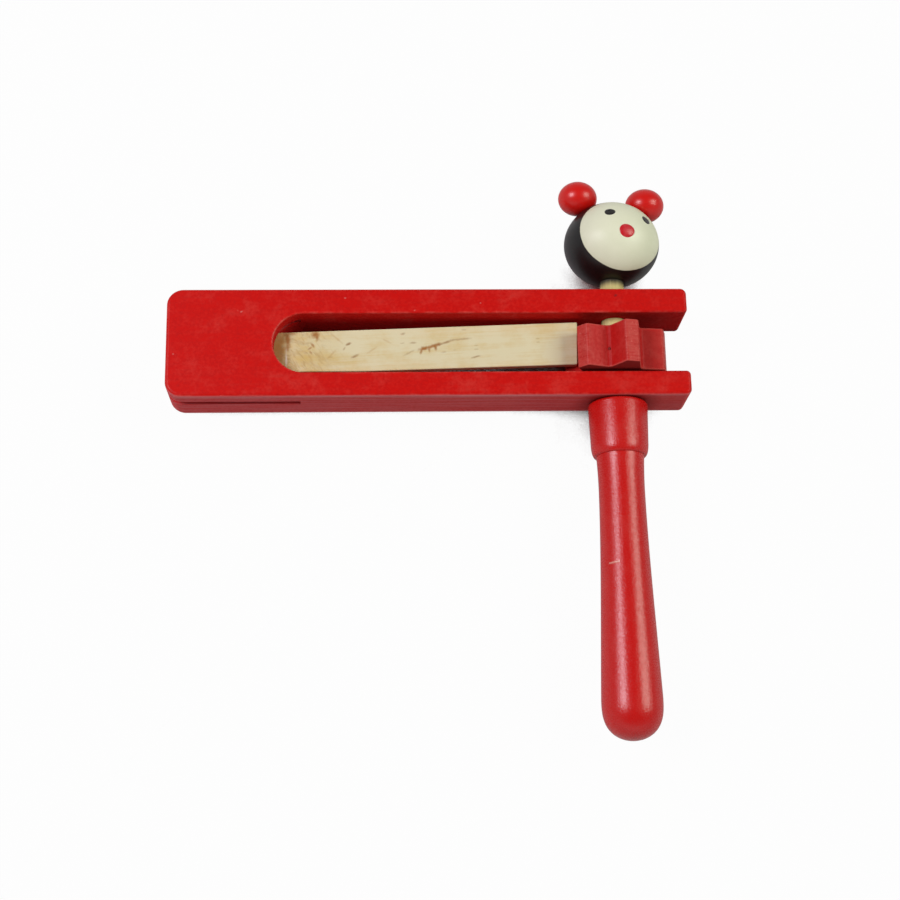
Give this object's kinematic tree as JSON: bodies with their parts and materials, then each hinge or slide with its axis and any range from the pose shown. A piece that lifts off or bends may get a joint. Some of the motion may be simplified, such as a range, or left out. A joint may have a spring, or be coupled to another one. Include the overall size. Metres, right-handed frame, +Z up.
{
  "type": "wooden ratchet",
  "caption": "Hand-swung wooden ratchet: a slotted frame with a springy tongue turns about a shaft with a toothed gear, a turned handle and an animal head with bead ears.",
  "frame": {"origin": "middle of the bounding box's underside, with the ratchet lying on its back", "axes": "+X along the frame towards its open end, +Y along the shaft towards the head, +Z up out of the frame's front face"},
  "size_m": [0.166, 0.1832, 0.0323],
  "materials": {
    "frame_paint": "red lacquer over wood, satin, a little worn at the corners",
    "tongue_wood": "bare pale wood with brown flecks",
    "gear_paint": "red lacquer, rubbed pale where the tongue strikes",
    "pin_steel": "dark wire nail",
    "shaft_wood": "bare pale dowel",
    "handle_paint": "glossy red lacquer",
    "head_paint": "glossy black lacquer with a painted cream face",
    "ear_paint": "glossy red lacquer",
    "peg_wood": "bare pale dowel"
  },
  "bodies": {
    "frame": {"frame": "frame_paint"},
    "tongue": {"tongue": "tongue_wood"},
    "rotor": {"shaft": "shaft_wood", "gear": "gear_paint", "gear_pin": "pin_steel", "handle": "handle_paint", "head": "head_paint", "left_ear": "ear_paint", "right_ear": "ear_paint", "left_ear_peg": "peg_wood", "right_ear_peg": "peg_wood"}
  },
  "joints": [
    {"name": "rotor_spin", "type": "hinge", "parent": "frame", "child": "rotor", "pos_m": [0.0603, 0.03378, 0.01624], "axis": [0, 1, 0], "continuous": true, "deforming": ["tongue"]},
    {"name": "tongue_flex", "type": "hinge", "parent": "frame", "child": "tongue", "pos_m": [-0.0494, 0.03378, 0.01834], "axis": [0, -1, 0], "range_deg": [-8, 6], "stiffness_Nm_per_rad": 4.8, "deforming": ["tongue"]}
  ]
}
